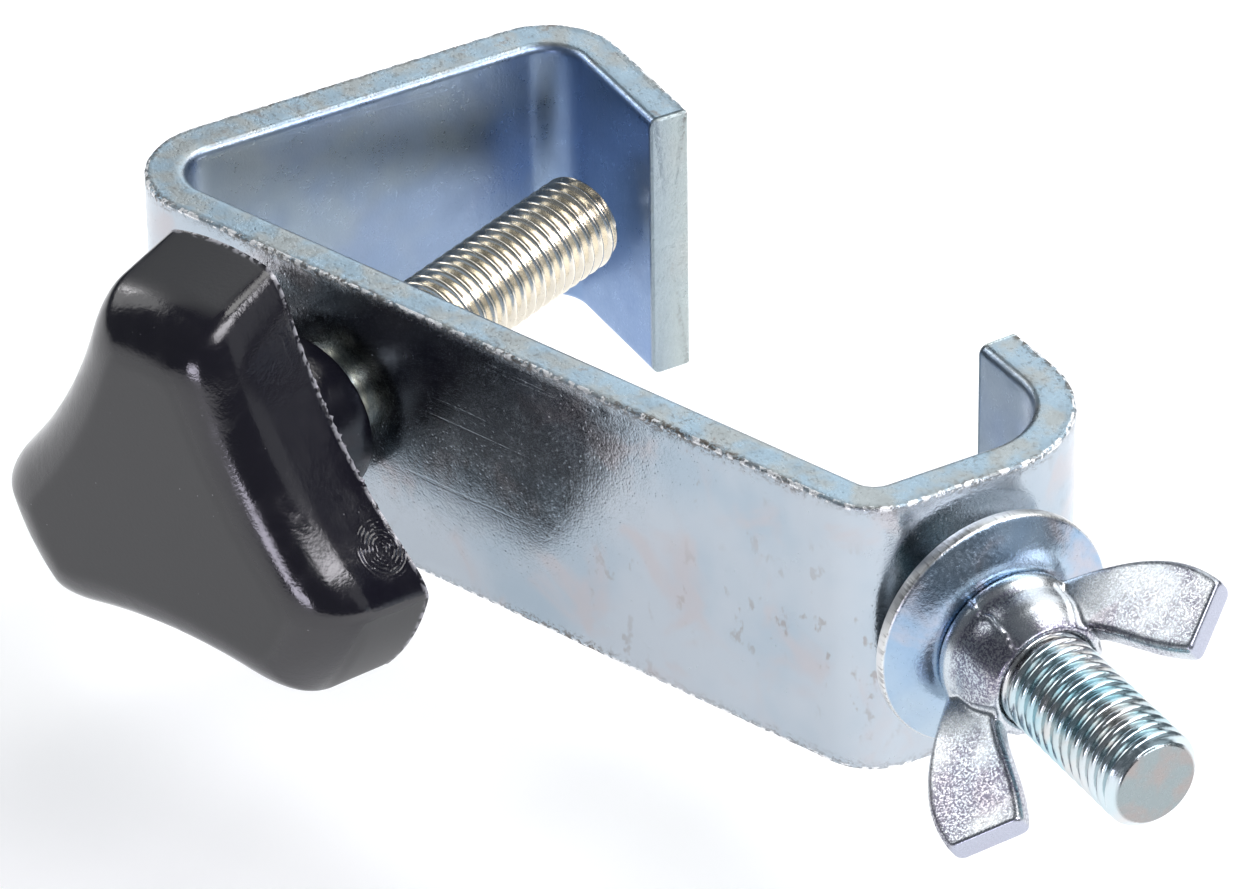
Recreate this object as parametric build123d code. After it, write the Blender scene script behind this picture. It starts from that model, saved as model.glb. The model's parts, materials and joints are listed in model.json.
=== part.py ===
"""Hook clamp for hanging a stage light from a pipe, in millimetres.

A flat steel bar is bent into a hook.  Its back bears on the pipe, a tapped screw with a
three-lobed knob closes it, and a hexagon bolt with a dished washer and a wing nut
carries the light.

Row frame: the origin is where the bolt's axis meets the outer face of the bar.  +X runs
along that axis, out towards the wing nut (down, in use), +Y runs along the bar there, and
+Z is across the width of the bar, along the pipe.
"""
from build123d import *
from math import cos, radians, sin
import os

# Bar: width, thickness, and the run of its outer face from bend to bend.
bar_width = 30.0
bar_thickness = 4.2
lip_length = 22.2
back_length = 55.9
leg_length = 97.1
jog_length = 28.3
tail_length = 19.0
leg_angle = 21.5
tail_angle = 182.5
bend_radii = (8.2, 8.6, 6.5, 12.0)
bar_edge_round = 0.5
bolt_from_bend = 11.8

# How far a cut runs past the faces it opens.
cut_margin = 1.0

# Clamp screw and its place along the leg, measured from the corner of back and leg.
screw_radius = 5.0
screw_length = 60.0
screw_reach = 40.2
screw_from_corner = 30.65
end_chamfer = 0.8
running_clearance = 0.05

# Knob: a tapered disc with three shallow scoops, on a round hub.
knob_back_radius = 24.4
knob_front_radius = 22.0
knob_thickness = 12.8
knob_clock = 92.0
lobe_count = 3
scoop_radius = 55.6
scoop_distance = 71.0
lobe_corner_round = 6.0
knob_front_round = 6.0
knob_back_round = 0.6
hub_radius = 8.6
hub_length = 9.9
hub_gap = 2.2

# Hexagon bolt that carries the light.
bolt_radius = 5.0
bolt_length = 36.0
bolt_hole_radius = 5.3
head_flats = 16.0
head_height = 6.4
head_chamfer_radius = 7.6
head_chamfer_height = 0.95
head_collar_radius = 7.3
head_collar_height = 0.6
head_stand_off = 0.85

# Dished washer: one thickness of sheet, its raised centre towards the wing nut.
washer_radius = 12.2
washer_hole_radius = 5.25
washer_thickness = 1.3
washer_centre_radius = 7.7
washer_rise = 2.0
washer_stand_off = 1.9

# Wing nut: hub, and the corners of a wing as radius and height above the nut's base.
nut_gap = 0.1
nut_height = 7.3
nut_collar_radius = 7.6
nut_collar_height = 1.7
nut_top_radius = 5.8
wing_thickness = 2.6
wing_edge_round = 0.7
wing_clock = 34.5
wing_root_radius = 5.6
wing_root_low = 0.5
wing_heel = (7.4, 0.5)
wing_belly = (13.4, 5.1)
wing_tip_outer = (17.5, 14.1)
wing_tip_inner = (10.7, 17.8)
wing_waist = (8.0, 12.2)
wing_crotch = (wing_root_radius, 6.6)


def heading(angle):
    """Unit vector in the XY plane at an angle from +X."""
    return Vector(cos(radians(angle)), sin(radians(angle)), 0)


def left_of(direction):
    """The direction turned a quarter turn to the left."""
    return Vector(-direction.Y, direction.X, 0)


def inner_corners(points, thickness):
    """Corners of the parallel line a bar's thickness to the left of a line of points."""
    runs = [(after - before).normalized() for before, after in zip(points, points[1:])]
    sides = [left_of(run) for run in runs]
    corners = [points[0] + sides[0] * thickness]
    for point, one, two in zip(points[1:], sides, sides[1:]):
        corners.append(point + (one + two) * (thickness / (1 + one.dot(two))))
    corners.append(points[-1] + sides[-1] * thickness)
    return corners


# The corners of the outer face, from the lip's tip to the tail's end.
leg_bend = Vector(0, -bolt_from_bend, 0)
tail_bend = leg_bend + heading(90) * jog_length
back_corner = leg_bend - heading(leg_angle) * leg_length
lip_corner = back_corner + heading(90) * back_length
lip_tip = lip_corner + heading(0) * lip_length
tail_end = tail_bend + heading(tail_angle) * tail_length
outer_points = [lip_tip, lip_corner, back_corner, leg_bend, tail_bend, tail_end]

# The clamp screw's seat on the leg: heights run out of the leg's outer face to the knob.
screw_seat = back_corner + heading(leg_angle) * screw_from_corner
screw_plane = Plane(
    origin=screw_seat,
    x_dir=heading(leg_angle),
    z_dir=heading(leg_angle - 90),
)

# The bolt's seat on the bar: heights run out of the bar's outer face to the wing nut.
bolt_plane = Plane(origin=(0, 0, 0), x_dir=(0, 1, 0), z_dir=(1, 0, 0))


def placed(solid, plane):
    """A solid modelled about the Z axis, set up on a plane."""
    return plane * solid


def rod(radius, low, high):
    """Cylinder about the Z axis from one height to another."""
    align = (Align.CENTER, Align.CENTER, Align.MIN)
    return Pos(0, 0, low) * Cylinder(radius, high - low, align=align)


def frustum(low_radius, high_radius, low, high):
    """Cone frustum about the Z axis from one height to another."""
    align = (Align.CENTER, Align.CENTER, Align.MIN)
    return Pos(0, 0, low) * Cone(low_radius, high_radius, high - low, align=align)


def bar_hole(radius, plane):
    """Hole through the bar, square to its outer face."""
    return placed(rod(radius, -bar_thickness - cut_margin, cut_margin), plane)


def make_hook_strap():
    """The bent bar, with the tapped hole for the screw and the hole for the bolt."""
    inner_points = inner_corners(outer_points, bar_thickness)
    inner_radii = [radius - bar_thickness for radius in bend_radii]
    outer_line = FilletPolyline(*outer_points, radius=list(bend_radii))
    inner_line = FilletPolyline(*inner_points, radius=inner_radii)
    lip_end = Line(outer_points[0], inner_points[0])
    tail_edge = Line(outer_points[-1], inner_points[-1])
    outline = make_face([*outer_line.edges(), *inner_line.edges(), lip_end, tail_edge])
    bar = extrude(Pos(0, 0, -bar_width / 2) * outline, amount=bar_width, dir=(0, 0, 1))
    faces = bar.faces().filter_by(Axis.Z)
    bar = fillet(faces.edges(), bar_edge_round)
    bar -= bar_hole(screw_radius + running_clearance, screw_plane)
    bar -= bar_hole(bolt_hole_radius, bolt_plane)
    return bar


def make_clamp_screw():
    """Screw through the leg: its tip presses on the pipe and its other end is in the knob."""
    screw = rod(screw_radius, -screw_reach, screw_length - screw_reach)
    return placed(chamfer(screw.edges(), end_chamfer), screw_plane)


def make_knob_body(back, front):
    """Tapered disc with three scoops, so that three lobes with rounded corners are left."""
    body = frustum(knob_back_radius, knob_front_radius, back, front)
    scoop = rod(scoop_radius, back - cut_margin, front + cut_margin)
    for index in range(lobe_count):
        angle = knob_clock + (index + 0.5) * 360 / lobe_count
        body -= Pos(heading(angle) * scoop_distance) * scoop
    flat = body.faces().filter_by(Axis.Z).edges()
    corners = [edge for edge in body.edges() if edge not in flat]
    body = fillet(corners, lobe_corner_round)
    body = fillet(body.faces().sort_by(Axis.Z)[-1].edges(), knob_front_round)
    return fillet(body.faces().sort_by(Axis.Z)[0].edges(), knob_back_round)


def make_knob():
    """Moulded knob with a round hub, and a blind hole that takes the end of the screw."""
    back = hub_gap + hub_length
    body = make_knob_body(back, back + knob_thickness)
    hub = rod(hub_radius, hub_gap, back + knob_front_round)
    hole_end = screw_length - screw_reach + running_clearance
    hole = rod(screw_radius + running_clearance, hub_gap - cut_margin, hole_end)
    return placed(body + hub - hole, screw_plane)


def make_fixture_bolt():
    """Hexagon bolt from the inner side of the bar, a corner of its head towards +Z."""
    seat = -bar_thickness - head_stand_off
    top = seat - head_height
    collar_edge = seat - head_collar_height
    shank = rod(bolt_radius, collar_edge, seat + bolt_length)
    shank = chamfer(shank.edges().sort_by(Axis.Z)[-1], end_chamfer)
    collar = rod(head_collar_radius, collar_edge, seat)
    hexagon = RegularPolygon(head_flats / 2, 6, major_radius=False, rotation=90)
    prism = extrude(Pos(0, 0, top) * hexagon, amount=head_height - head_collar_height)
    corner_radius = head_flats / 2 / cos(radians(30))
    shoulder = top + head_chamfer_height
    envelope = frustum(head_chamfer_radius, corner_radius, top, shoulder)
    envelope += rod(corner_radius, shoulder, collar_edge)
    return placed(shank + collar + (prism & envelope), bolt_plane)


def dish_curve(back):
    """Half of the dish: from the centre flat down to the rim, level at the centre."""
    centre = (washer_centre_radius, back + washer_rise)
    rim = (washer_radius, back)
    slope = (washer_radius - washer_centre_radius, -washer_rise)
    return Spline(centre, rim, tangents=[(1, 0), slope])


def make_dished_washer():
    """Pressed washer: its rim is nearer the bar and its centre bears on the wing nut."""
    back = washer_stand_off
    front = back + washer_thickness
    hole_edge = Line(
        (washer_hole_radius, back + washer_rise),
        (washer_hole_radius, front + washer_rise),
    )
    front_flat = Line(hole_edge @ 1, (washer_centre_radius, front + washer_rise))
    back_flat = Line(hole_edge @ 0, (washer_centre_radius, back + washer_rise))
    rim_edge = Line((washer_radius, back), (washer_radius, front))
    curves = [dish_curve(front), dish_curve(back)]
    section = make_face([hole_edge, front_flat, back_flat, rim_edge, *curves])
    return placed(revolve(Plane.XZ * section, Axis.Z), bolt_plane)


def wing_outline():
    """One wing, radius across and height up: curved edges and a slanted flat tip."""
    outer_edge = Spline(wing_heel, wing_belly, wing_tip_outer)
    tip = Line(wing_tip_outer, wing_tip_inner)
    inner_edge = Spline(wing_tip_inner, wing_waist, wing_crotch)
    root = Polyline(wing_crotch, (wing_root_radius, wing_root_low), wing_heel)
    return make_face([outer_edge, tip, inner_edge, *root.edges()])


def make_wing_nut():
    """Wing nut: a round collar, a tapered hub and two upright wings."""
    nut = rod(nut_collar_radius, 0, nut_collar_height)
    nut += frustum(nut_collar_radius, nut_top_radius, nut_collar_height, nut_height)
    wing = extrude(Plane.XZ * wing_outline(), amount=wing_thickness / 2, both=True)
    wing = fillet(wing.faces().filter_by(Axis.Y).edges(), wing_edge_round)
    nut += wing + Rot(0, 0, 180) * wing
    nut -= rod(bolt_radius + running_clearance, -cut_margin, nut_height + cut_margin)
    base = washer_stand_off + washer_thickness + washer_rise + nut_gap
    return placed(Pos(0, 0, base) * Rot(0, 0, wing_clock) * nut, bolt_plane)


def main():
    """Write one STEP file for each piece."""
    makers = {
        "hook_strap": make_hook_strap,
        "clamp_screw": make_clamp_screw,
        "knob": make_knob,
        "fixture_bolt": make_fixture_bolt,
        "dished_washer": make_dished_washer,
        "wing_nut": make_wing_nut,
    }
    os.makedirs("parts", exist_ok=True)
    for name, maker in makers.items():
        export_step(maker(), f"parts/{name}.step")


main()
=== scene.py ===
"""Looks of the hook clamp, in metres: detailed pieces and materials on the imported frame.

Every piece is modelled in the row frame.  Pieces that turn about an axis are drawn about
+Z in millimetres and then set up on the screw's axis or the bolt's axis.
"""

import json
import math

import bmesh
import bpy
import numpy as np
from mathutils import Euler, Matrix, Vector, noise


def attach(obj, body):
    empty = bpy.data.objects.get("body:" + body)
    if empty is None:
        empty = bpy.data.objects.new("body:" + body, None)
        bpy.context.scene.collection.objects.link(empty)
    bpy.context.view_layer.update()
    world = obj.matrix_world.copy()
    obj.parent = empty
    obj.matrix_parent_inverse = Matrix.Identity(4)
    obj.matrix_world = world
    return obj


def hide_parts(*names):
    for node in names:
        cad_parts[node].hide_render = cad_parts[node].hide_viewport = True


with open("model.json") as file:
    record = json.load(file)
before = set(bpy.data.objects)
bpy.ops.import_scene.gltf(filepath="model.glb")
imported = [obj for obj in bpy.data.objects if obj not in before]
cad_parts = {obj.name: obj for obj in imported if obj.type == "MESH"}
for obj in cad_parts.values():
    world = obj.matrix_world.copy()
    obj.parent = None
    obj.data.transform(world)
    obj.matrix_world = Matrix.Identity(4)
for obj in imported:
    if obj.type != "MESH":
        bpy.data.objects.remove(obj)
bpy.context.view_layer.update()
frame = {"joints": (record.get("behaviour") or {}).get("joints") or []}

MM = 0.001
TURN = 2 * math.pi
SCENE = bpy.context.scene
JOINTS = {joint["name"]: joint for joint in frame["joints"]}

# Bar, in millimetres: the run of its outer face from bend to bend, the rounding of its
# sheared outer corners and rolled inner ones, and how far its cut ends are drawn in.
BAR_WIDTH = 30.0
BAR_THICKNESS = 4.2
LIP_LENGTH = 22.2
BACK_LENGTH = 55.9
LEG_LENGTH = 97.1
JOG_LENGTH = 28.3
TAIL_LENGTH = 19.0
LEG_ANGLE = 21.5
TAIL_ANGLE = 182.5
BEND_RADII = (8.2, 8.6, 6.5, 12.0)
BOLT_FROM_BEND = 11.8
STATION_STEP = 0.55
BURR_ROUND = 0.32
ROLLED_ROUND = 0.95
END_INSET = 0.22
END_ROUND = 0.2
BURR_RAG = 0.09
SCREW_HOLE = 5.05
BOLT_HOLE = 5.3

# Threads, the clamp screw's ends, and the fixture bolt with its head inside the hook.
PITCH = 1.5
SCREW_RADIUS = 4.98
SCREW_REACH = 40.2
SCREW_LENGTH = 60.0
SCREW_CHAMFER = 0.75
BOLT_RADIUS = 4.98
BOLT_END = 30.95
BOLT_CHAMFER = 0.95
HEAD_STAND_OFF = 0.85
HEAD_HEIGHT = 6.4
HEAD_HALF_FLATS = 8.0
HEAD_TOP_RADIUS = 7.6
HEAD_REACH = 9.3
HEAD_COLLAR = 7.3
HEAD_COLLAR_HEIGHT = 0.6

# Knob, with heights measured out of the leg's outer face.
HUB_GAP = 2.2
HUB_RADIUS = 8.6
KNOB_HOLE = 5.05
KNOB_BACK = 12.1
KNOB_FRONT = 24.9
KNOB_BACK_RADIUS = 24.4
KNOB_FRONT_RADIUS = 22.0
KNOB_FRONT_ROUND = 6.0
KNOB_CORNER_BLEND = 3.6
KNOB_CLOCK = 92.0
LOBES = 3
LOBE_STEP = 360 / LOBES
SCOOP_RADIUS = 55.6
SCOOP_DISTANCE = 71.0
FLASH_HEIGHT = KNOB_BACK + 0.26
SWIRL_CLOCK = -2.0
SWIRL_REACH = 19.9
SWIRL_HEIGHT = 14.5

# Washer and wing nut, with heights measured along the bolt from the bar's outer face.
WASHER_RADIUS = 12.2
WASHER_HOLE = 5.25
WASHER_CENTRE = 7.7
WASHER_BACK = 1.9
WASHER_RISE = 2.0
WASHER_THICKNESS = 1.3
DISH_TURN = 0.8 * math.pi
NUT_BASE = 5.3
NUT_HEIGHT = 7.3
NUT_BORE = 5.06
NUT_MOUTH = 5.75
NUT_CLOCK = 34.5
COLLAR_HEIGHT = 1.6

# One wing, as radius across and height up: its outer and inner edge from root to tip, its
# half thickness at the root and the tip, its rounding, the way its tip faces, and how far
# from the nut's middle the raised line at its root is.
WING_OUTER = ((4.6, -1.2), (7.4, 0.5), (13.4, 5.1), (17.5, 14.1))
WING_INNER = ((3.6, 4.0), (5.6, 6.6), (8.0, 12.2), (10.7, 17.8))
WING_HALF = (1.55, 1.25)
WING_CORNER = 0.8
WING_TIP_FACING = (0.478, 0.878)
WING_ROOT_LINE = 2.6

# Stage: the floor in millimetres, how brightly it and the world glow, the camera fitted to
# the photograph, and the point in metres that the lights face.
FLOOR_HALF = 6000.0
FLOOR_LEVEL = -45.0
FLOOR_GLOW = 0.2
WORLD_GLOW = 0.16
WORLD_COLOUR = (0.82, 0.90, 1.0, 1.0)
CAMERA_PLACE = (0.55791, -0.35007, 0.47712)
CAMERA_TURN = (55.2375, 0.6352, 60.2988)
CAMERA_LENS = 251.70
CAMERA_SENSOR = 36.0
CAMERA_SHIFT = (0.001258, -0.007985)
OBJECT_MIDDLE = Vector((-0.03, -0.01, 0.0))


# ---------------------------------------------------------------- mesh helpers


def new_object(name, vertices, faces, sharp_angle=35.0):
    """A mesh object in metres from points in millimetres, smooth but for its sharp edges."""
    mesh = bpy.data.meshes.new(name)
    mesh.from_pydata((np.asarray(vertices, float) * MM).tolist(), [], faces)
    mesh.update()
    obj = bpy.data.objects.new(name, mesh)
    SCENE.collection.objects.link(obj)
    tidy_mesh(obj, sharp_angle)
    return obj


def tidy_mesh(obj, sharp_angle=35.0):
    """Merge coincident points, point the faces outwards and shade smooth up to an angle."""
    bm = bmesh.new()
    bm.from_mesh(obj.data)
    bmesh.ops.remove_doubles(bm, verts=bm.verts, dist=1e-7)
    bmesh.ops.dissolve_degenerate(bm, edges=bm.edges, dist=1e-8)
    bmesh.ops.recalc_face_normals(bm, faces=bm.faces)
    bm.to_mesh(obj.data)
    bm.free()
    obj.data.shade_smooth()
    obj.data.set_sharp_from_angle(angle=math.radians(sharp_angle))


def ring_faces(ring_count, columns):
    """Quads between rings of points that follow one another."""
    faces = []
    for ring in range(ring_count - 1):
        for column in range(columns):
            after = (column + 1) % columns
            low, high = ring * columns, (ring + 1) * columns
            faces.append((low + column, low + after, high + after, high + column))
    return faces


def ring_object(name, rings, sharp_angle=35.0):
    """Closed skin over rings of points; the first and last ring are closed with a fan."""
    rings = np.asarray(rings, float)
    ring_count, columns, _ = rings.shape
    vertices = rings.reshape(-1, 3).tolist()
    faces = ring_faces(ring_count, columns)
    for ring, order in ((0, -1), (ring_count - 1, 1)):
        centre = len(vertices)
        vertices.append(rings[ring].mean(0).tolist())
        for column in range(columns):
            pair = (ring * columns + column, ring * columns + (column + 1) % columns)
            faces.append((centre, *pair[::order]))
    return new_object(name, vertices, faces, sharp_angle)


def circle_ring(radius, height, columns):
    """Ring of points about the Z axis."""
    angle = np.arange(columns) * TURN / columns
    high = np.full(columns, height)
    return np.stack([radius * np.cos(angle), radius * np.sin(angle), high], 1)


def arc_points(centre, radius, start, end, count):
    """Points on an arc, with its angles in degrees."""
    angles = np.radians(np.linspace(start, end, count))
    return [(centre[0] + radius * math.cos(a), centre[1] + radius * math.sin(a)) for a in angles]


def revolved(name, section, columns=128, sharp_angle=35.0):
    """Solid of revolution about the Z axis from a closed section of (radius, height)."""
    closed = list(section) + [section[0]]
    rings = [circle_ring(radius, height, columns) for radius, height in closed]
    vertices = np.asarray(rings).reshape(-1, 3)
    return new_object(name, vertices, ring_faces(len(rings), columns), sharp_angle)


def set_up(obj, matrix):
    """Move a piece drawn about +Z to its place in the row frame, in its mesh."""
    obj.data.transform(matrix)
    obj.data.update()
    return obj


def apply_boolean(obj, other, operation):
    """Join or cut a mesh with another one, which is then removed."""
    modifier = obj.modifiers.new(operation.lower(), "BOOLEAN")
    modifier.object = other
    modifier.operation = operation
    modifier.solver = "EXACT"
    bake_modifiers(obj)
    bpy.data.objects.remove(other)


def bake_modifiers(obj):
    """Replace a mesh by what its modifiers make of it."""
    bpy.context.view_layer.update()
    depsgraph = bpy.context.evaluated_depsgraph_get()
    mesh = bpy.data.meshes.new_from_object(obj.evaluated_get(depsgraph))
    obj.modifiers.clear()
    obj.data = mesh


def points_of(obj):
    """The mesh's points, in millimetres."""
    flat = np.empty(len(obj.data.vertices) * 3)
    obj.data.vertices.foreach_get("co", flat)
    return flat.reshape(-1, 3) / MM


def set_points(obj, points):
    """Move the mesh's points, given in millimetres."""
    obj.data.vertices.foreach_set("co", (np.asarray(points) * MM).ravel())
    obj.data.update()


def normals_of(obj):
    """The mesh's unit normals, one for each point."""
    flat = np.empty(len(obj.data.vertices) * 3)
    obj.data.vertices.foreach_get("normal", flat)
    return flat.reshape(-1, 3)


def store(obj, name, values):
    """Keep one number for each point of the mesh, for its material to read."""
    attribute = obj.data.attributes.new(name, "FLOAT", "POINT")
    attribute.data.foreach_set("value", np.asarray(values, np.float32))


def smooth_step(low, high, values):
    """0 below low, 1 above high, and a smooth change between them."""
    t = np.clip((np.asarray(values) - low) / (high - low), 0, 1)
    return t * t * (3 - 2 * t)


def noise_line(values, scale, seed):
    """Smooth repeatable noise from -1 to 1 along a line."""
    return np.array([noise.noise(Vector((v * scale, seed, 0.37 * seed))) for v in values])


# ---------------------------------------------------------------- places


def heading(angle):
    """Unit vector in the XY plane at an angle from +X, in degrees."""
    return np.array([math.cos(math.radians(angle)), math.sin(math.radians(angle))])


def bar_corners():
    """The corners of the bar's outer face, from the lip's tip to the tail's end."""
    leg_bend = np.array([0.0, -BOLT_FROM_BEND])
    tail_bend = leg_bend + heading(90) * JOG_LENGTH
    back_corner = leg_bend - heading(LEG_ANGLE) * LEG_LENGTH
    lip_corner = back_corner + heading(90) * BACK_LENGTH
    lip_tip = lip_corner + heading(0) * LIP_LENGTH
    tail_end = tail_bend + heading(TAIL_ANGLE) * TAIL_LENGTH
    return [lip_tip, lip_corner, back_corner, leg_bend, tail_bend, tail_end]


def screw_place():
    """From millimetres about +Z to the row frame: +Z runs out of the leg to the knob."""
    outward = -Vector(JOINTS["knob_turn"]["axis"])
    across = Vector((0, 0, 1))
    along = across.cross(outward)
    turn = Matrix((along, across, outward)).transposed().to_4x4()
    return Matrix.Translation(Vector(JOINTS["knob_turn"]["pos_m"])) @ turn


def bolt_place():
    """From millimetres about +Z to the row frame: +Z runs along the bolt, out of the bar."""
    outward = Vector(JOINTS["wing_nut_turn"]["axis"])
    across = Vector((0, 0, 1))
    along = across.cross(outward)
    return Matrix((along, across, outward)).transposed().to_4x4()


# ---------------------------------------------------------------- the bar


def unit(vector):
    """A vector's direction, as a vector of length one."""
    return vector / np.linalg.norm(vector)


def straight_run(start, end):
    """Evenly spaced points from a start, which is left out, to an end."""
    count = max(1, round(np.linalg.norm(end - start) / STATION_STEP))
    return [start + (end - start) * (step + 1) / count for step in range(count)]


def bend_run(start, arrive, turn, radius):
    """Points and directions round a bend, from its start, which is left out."""
    side = math.copysign(1, turn) * np.array([-arrive[1], arrive[0]])
    centre = start + side * radius
    count = max(4, round(abs(turn) * radius / STATION_STEP))
    points = [centre + rotate(start - centre, turn * (step + 1) / count) for step in range(count)]
    headings = [rotate(arrive, turn * step / count) for step in range(count)]
    return points, headings


def bar_path():
    """Stations along the bar's outer face: point, direction of travel, and run so far."""
    corners = bar_corners()
    points, headings = [corners[0]], []
    for before, corner, after, radius in zip(corners, corners[1:], corners[2:], BEND_RADII):
        arrive = unit(corner - before)
        leave = unit(after - corner)
        turn = math.atan2(arrive[0] * leave[1] - arrive[1] * leave[0], float(arrive @ leave))
        start = corner - arrive * radius * math.tan(abs(turn) / 2)
        run_in = straight_run(points[-1], start)
        bent, directions = bend_run(start, arrive, turn, radius)
        points += run_in + bent
        headings += [arrive] * len(run_in) + directions
    run_out = straight_run(points[-1], corners[-1])
    headings += [unit(corners[-1] - points[-1])] * (len(run_out) + 1)
    points = np.array(points + run_out)
    run = np.r_[0, np.cumsum(np.linalg.norm(np.diff(points, axis=0), axis=1))]
    return points, np.array(headings), run


def rotate(vector, angle):
    """A flat vector turned by an angle in radians."""
    c, s = math.cos(angle), math.sin(angle)
    return np.array([c * vector[0] - s * vector[1], s * vector[0] + c * vector[1]])


def bar_section(inset=0.0):
    """Ring of (depth from the outer face, height) round the bar, with its four roundings."""
    top = BAR_WIDTH / 2
    deep = BAR_THICKNESS
    burr, rolled = BURR_ROUND, ROLLED_ROUND
    ring = []
    ring += [(0.0, z) for z in np.linspace(-top + burr, top - burr, 25)[:-1]]
    ring += arc_points((burr, top - burr), burr, 180, 90, 4)[:-1]
    ring += [(u, top) for u in np.linspace(burr, deep - rolled, 6)[:-1]]
    ring += arc_points((deep - rolled, top - rolled), rolled, 90, 0, 7)[:-1]
    ring += [(deep, z) for z in np.linspace(top - rolled, -top + rolled, 25)[:-1]]
    ring += arc_points((deep - rolled, -top + rolled), rolled, 0, -90, 7)[:-1]
    ring += [(u, -top) for u in np.linspace(deep - rolled, burr, 6)[:-1]]
    ring += arc_points((burr, -top + burr), burr, 270, 180, 4)[:-1]
    ring = np.array(ring)
    if inset:
        centre = np.array([deep / 2, 0.0])
        half = np.array([deep / 2, top])
        ring = centre + (ring - centre) * (half - inset) / half
    return ring


def bar_ring(point, direction, section, run):
    """One ring of the bar's skin, with the sheared corners slightly ragged."""
    left = np.array([-direction[1], direction[0]])
    depth = section[:, 0].copy()
    height = section[:, 1]
    reach = 1.6 * BURR_ROUND
    near_corner = (depth < reach) & (np.abs(height) > BAR_WIDTH / 2 - reach)
    for index in np.flatnonzero(near_corner):
        seed = 3.1 if height[index] > 0 else 8.4
        rag = noise.noise(Vector((run * 1.7, seed, 0.4)))
        rag += 0.6 * noise.noise(Vector((run * 5.0, seed, 2.0)))
        depth[index] += BURR_RAG * rag
    flat = point + depth[:, None] * left
    return np.c_[flat, height]


def closest_run(points, path, run):
    """For each point, how far along the bar it is and how deep below the outer face."""
    where = []
    depth = []
    for point in points[:, :2]:
        distance = np.linalg.norm(path - point, axis=1)
        nearest = distance.argmin()
        where.append(run[nearest])
        depth.append(distance[nearest])
    return np.array(where), np.array(depth)


def bar_rings(path, headings, run):
    """Rings along the whole bar, the first and the last drawn in to round its ends."""
    whole = bar_section()
    drawn_in = bar_section(END_INSET)
    first = path[0] + headings[0] * END_ROUND
    last = path[-1] - headings[-1] * END_ROUND
    rings = [bar_ring(path[0], headings[0], drawn_in, run[0])]
    rings.append(bar_ring(first, headings[0], whole, run[0]))
    for point, direction, at in zip(path[1:-1], headings[1:-1], run[1:-1]):
        rings.append(bar_ring(point, direction, whole, at))
    rings.append(bar_ring(last, headings[-1], whole, run[-1]))
    rings.append(bar_ring(path[-1], headings[-1], drawn_in, run[-1]))
    return rings


def store_bar_shares(bar, path, run):
    """Keep how much each point is burr, sheared side, cut end and inner face."""
    points = points_of(bar)
    where, depth = closest_run(points, path, run)
    from_side = BAR_WIDTH / 2 - np.abs(points[:, 2])
    from_corner = np.hypot(np.maximum(from_side, 0), depth)
    from_end = np.minimum(where, run[-1] - where)
    store(bar, "burr", 1 - smooth_step(0.2, 1.1, from_corner))
    store(bar, "side", 1 - smooth_step(0.05, 0.3, from_side))
    store(bar, "along", where * MM)
    store(bar, "end", 1 - smooth_step(0.15, 0.5, from_end))
    store(bar, "inner", smooth_step(0.8, 3.4, depth))


def make_bar():
    """The bent bar: one sheared bar with ragged outer corners and rolled inner ones."""
    path, headings, run = bar_path()
    bar = ring_object("bar_skin", bar_rings(path, headings, run))
    for place, radius in ((screw_place(), SCREW_HOLE), (bolt_place(), BOLT_HOLE)):
        hole = revolved("hole", [(0, -8), (radius, -8), (radius, 2), (0, 2)], columns=96)
        set_up(hole, place)
        apply_boolean(bar, hole, "DIFFERENCE")
    tidy_mesh(bar, 38)
    store_bar_shares(bar, path, run)
    return bar


# ---------------------------------------------------------------- threads

# Share of the thread's depth at even steps over one pitch, from the crest's middle: a cut
# thread with narrow crests, and a rolled one with broad round crests.
THREAD_DEPTH = 0.92
CUT_PROFILE = (0.0, 0.04, 0.22, 0.48, 0.75, 0.94, 1.0, 0.94, 0.75, 0.48, 0.22, 0.04)
ROLLED_PROFILE = (0.0, 0.01, 0.06, 0.2, 0.5, 0.86, 1.0, 0.86, 0.5, 0.2, 0.06, 0.01)


def thread_radius(height, turn, radius, low, high, chamfers, runout, profile):
    """Radius of a thread at a height and a turn, with its end chamfers and its run-out."""
    steps = len(profile)
    phase = ((height - low) / PITCH - turn) % 1.0 * steps
    depth = np.interp(phase, np.arange(steps + 1), [*profile, profile[0]]) * THREAD_DEPTH
    if runout:
        depth = depth * smooth_step(runout - 2 * PITCH, runout, height)
    result = radius - depth
    result = np.minimum(result, radius - chamfers[0] + np.maximum(height - low, 0) * 1.1)
    return np.minimum(result, radius - chamfers[1] + np.maximum(high - height, 0) * 1.1)


def thread_faces(rows, columns, steps):
    """Quads between rows that climb a helix: the end of each row meets a row a turn later."""
    faces = []
    for index in range(rows):
        for column in range(columns):
            if column < columns - 1:
                beside = (index, column + 1)
                beyond = (index + 1, column + 1)
            else:
                beside = (min(index + steps, rows), 0)
                beyond = (min(index + 1 + steps, rows), 0)
            corners = [(index, column), beside, beyond, (index + 1, column)]
            faces.append([r * columns + c for r, c in corners])
    return faces


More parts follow.
